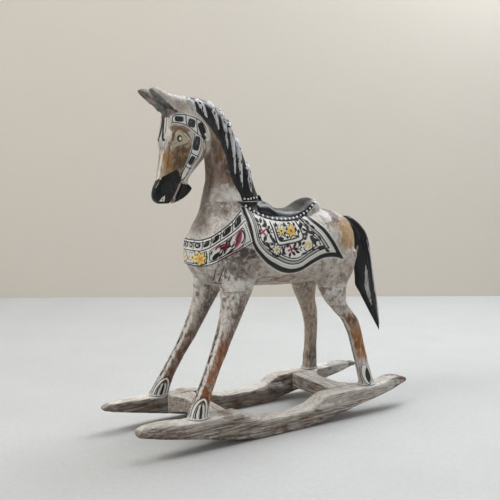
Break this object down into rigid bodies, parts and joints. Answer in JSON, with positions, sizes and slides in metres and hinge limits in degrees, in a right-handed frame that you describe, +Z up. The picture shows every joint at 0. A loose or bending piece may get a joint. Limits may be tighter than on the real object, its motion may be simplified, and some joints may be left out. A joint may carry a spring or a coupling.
{
  "type": "rocking horse figurine",
  "caption": "Hand-carved wooden horse standing on a rocking base, whitewashed and painted with bridle, breast collar, saddle and flowered saddle blanket.",
  "frame": {"origin": "on the floor under the middle of the bounding box", "axes": "+Z up, the horse faces -X, its left side is -Y"},
  "size_m": [0.195, 0.064, 0.2016],
  "materials": {
    "whitewashed_body": "grey-white whitewash over brown wood, rubbed and stained, with painted ornament, satin",
    "whitewashed_brown_head": "brown wood showing through whitewash, black muzzle and mane paint, satin",
    "black_painted_tail": "black paint with two grey-white stripes, satin",
    "whitewashed_leg_wood": "orange-brown wood with rubbed whitewash, satin",
    "weathered_base_wood": "whitewashed wood with streaky grey-brown grain, matt"
  },
  "bodies": {
    "root": {"trunk": "whitewashed_body", "neck_and_head": "whitewashed_brown_head", "left_foreleg": "whitewashed_leg_wood", "right_foreleg": "whitewashed_leg_wood", "left_hindleg": "whitewashed_leg_wood", "right_hindleg": "whitewashed_leg_wood", "tail": "black_painted_tail", "left_rocker": "weathered_base_wood", "right_rocker": "weathered_base_wood", "front_crossbar": "weathered_base_wood", "rear_crossbar": "weathered_base_wood"}
  },
  "joints": []
}
